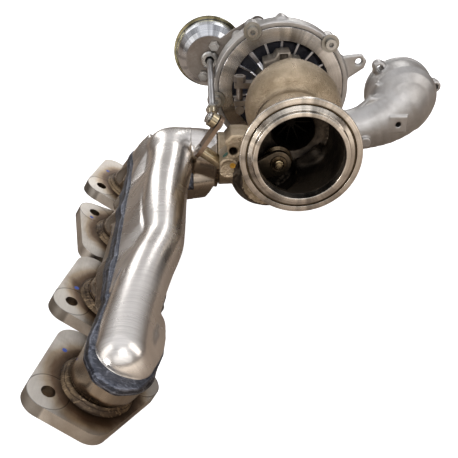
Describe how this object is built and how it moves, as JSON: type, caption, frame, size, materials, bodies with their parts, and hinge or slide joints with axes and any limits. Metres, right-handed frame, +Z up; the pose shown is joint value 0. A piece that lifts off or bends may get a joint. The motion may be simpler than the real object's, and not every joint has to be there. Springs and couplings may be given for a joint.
{
  "type": "turbocharger",
  "caption": "Turbocharger on a welded four-port exhaust manifold, with a wastegate flap worked by a rod from a round vacuum can.",
  "frame": {"origin": "centre of the turbine outlet's lip face, on the shaft axis", "axes": "+Z up, the shaft runs along Y and the turbine outlet faces -Y; the manifold is on the -X side and the charge air outlet on the +X side"},
  "size_m": [0.3715, 0.4905, 0.172],
  "materials": {
    "actuator_bracket": "satin",
    "actuator_front_shell": "bright plated",
    "actuator_nuts": "satin",
    "actuator_rear_shell": "yellow passivated",
    "actuator_rod": "satin",
    "actuator_spring": "satin",
    "actuator_studs": "satin",
    "bearing_housing": "as cast",
    "bolt_washers": "phosphate",
    "bracket_bolts": "satin",
    "clamp_nut": "satin",
    "clamp_t_bolt": "satin",
    "collector": "satin",
    "compressor_bolts": "phosphate",
    "compressor_housing": "as cast",
    "compressor_wheel": "machined",
    "diaphragm": "matt",
    "flap_rivet": "turned",
    "flap_washer": "turned",
    "heat_shield": "pressed",
    "inlet_weld": "weld",
    "journal_bearing": "turned",
    "lever_pin": "turned",
    "lower_shell": "satin",
    "o_ring": "matt",
    "oil_flinger": "satin",
    "pin_circlip": "turned",
    "piston_plate": "satin",
    "piston_ring_compressor": "satin",
    "piston_ring_turbine": "satin",
    "port_flange_1": "machined",
    "port_flange_2": "machined",
    "port_flange_3": "machined",
    "port_flange_4": "machined",
    "port_stub_1": "satin",
    "port_stub_2": "satin",
    "port_stub_3": "satin",
    "port_stub_4": "satin",
    "port_welds": "weld",
    "rod_end": "satin",
    "rod_guide_ring": "satin",
    "rod_locknut": "satin",
    "rod_nut": "satin",
    "rotor_shaft": "satin",
    "seal_plate": "turned",
    "seam_weld": "weld",
    "shaft_nut": "satin",
    "snap_ring": "satin",
    "thrust_bearing": "turned",
    "thrust_collar": "satin",
    "turbine_housing": "as cast",
    "turbine_wheel": "as cast",
    "upper_shell": "satin",
    "v_clamp_band": "pressed",
    "vacuum_nipple": "turned",
    "wastegate_arm": "satin",
    "wastegate_bushing": "turned",
    "wastegate_flap": "satin",
    "wastegate_lever": "satin",
    "wastegate_spindle": "turned"
  },
  "bodies": {
    "housing": {"actuator_bracket": "actuator_bracket", "actuator_front_shell": "actuator_front_shell", "actuator_nuts": "actuator_nuts", "actuator_rear_shell": "actuator_rear_shell", "actuator_spring": "actuator_spring", "actuator_studs": "actuator_studs", "bearing_housing": "bearing_housing", "bolt_washers": "bolt_washers", "bracket_bolts": "bracket_bolts", "clamp_nut": "clamp_nut", "clamp_t_bolt": "clamp_t_bolt", "collector": "collector", "compressor_bolts": "compressor_bolts", "compressor_housing": "compressor_housing", "diaphragm": "diaphragm", "heat_shield": "heat_shield", "inlet_weld": "inlet_weld", "journal_bearing": "journal_bearing", "lower_shell": "lower_shell", "o_ring": "o_ring", "piston_ring_compressor": "piston_ring_compressor", "piston_ring_turbine": "piston_ring_turbine", "port_flange_1": "port_flange_1", "port_flange_2": "port_flange_2", "port_flange_3": "port_flange_3", "port_flange_4": "port_flange_4", "port_stub_1": "port_stub_1", "port_stub_2": "port_stub_2", "port_stub_3": "port_stub_3", "port_stub_4": "port_stub_4", "port_welds": "port_welds", "rod_guide_ring": "rod_guide_ring", "seal_plate": "seal_plate", "seam_weld": "seam_weld", "snap_ring": "snap_ring", "thrust_bearing": "thrust_bearing", "turbine_housing": "turbine_housing", "upper_shell": "upper_shell", "v_clamp_band": "v_clamp_band", "vacuum_nipple": "vacuum_nipple", "wastegate_bushing": "wastegate_bushing"},
    "rotor": {"rotor_shaft": "rotor_shaft", "turbine_wheel": "turbine_wheel", "compressor_wheel": "compressor_wheel", "shaft_nut": "shaft_nut", "thrust_collar": "thrust_collar", "oil_flinger": "oil_flinger"},
    "wastegate": {"wastegate_spindle": "wastegate_spindle", "wastegate_arm": "wastegate_arm", "wastegate_flap": "wastegate_flap", "flap_washer": "flap_washer", "flap_rivet": "flap_rivet", "wastegate_lever": "wastegate_lever", "lever_pin": "lever_pin", "pin_circlip": "pin_circlip"},
    "rod": {"rod_end": "rod_end", "rod_locknut": "rod_locknut", "actuator_rod": "actuator_rod", "piston_plate": "piston_plate", "rod_nut": "rod_nut"}
  },
  "joints": [
    {"name": "rotor_spin", "type": "hinge", "parent": "housing", "child": "rotor", "pos_m": [0, 0.146, 0], "axis": [0, 1, 0], "continuous": true},
    {"name": "wastegate_spindle", "type": "hinge", "parent": "housing", "child": "wastegate", "pos_m": [-0.07, 0.04, -0.015], "axis": [0.8, 0, -0.6], "range_deg": [0, 30], "stiffness_Nm_per_rad": 0.5, "springref_deg": -17.19},
    {"name": "rod_pivot", "type": "hinge", "parent": "wastegate", "child": "rod", "pos_m": [-0.069, 0.0456, 0.016], "axis": [0.8, 0, -0.6], "range_deg": [-30, 0], "deforming": ["actuator_spring", "diaphragm"]}
  ],
  "couplings": [
    {"joint": "rod_pivot", "follows": "wastegate_spindle", "ratio": -1}
  ]
}
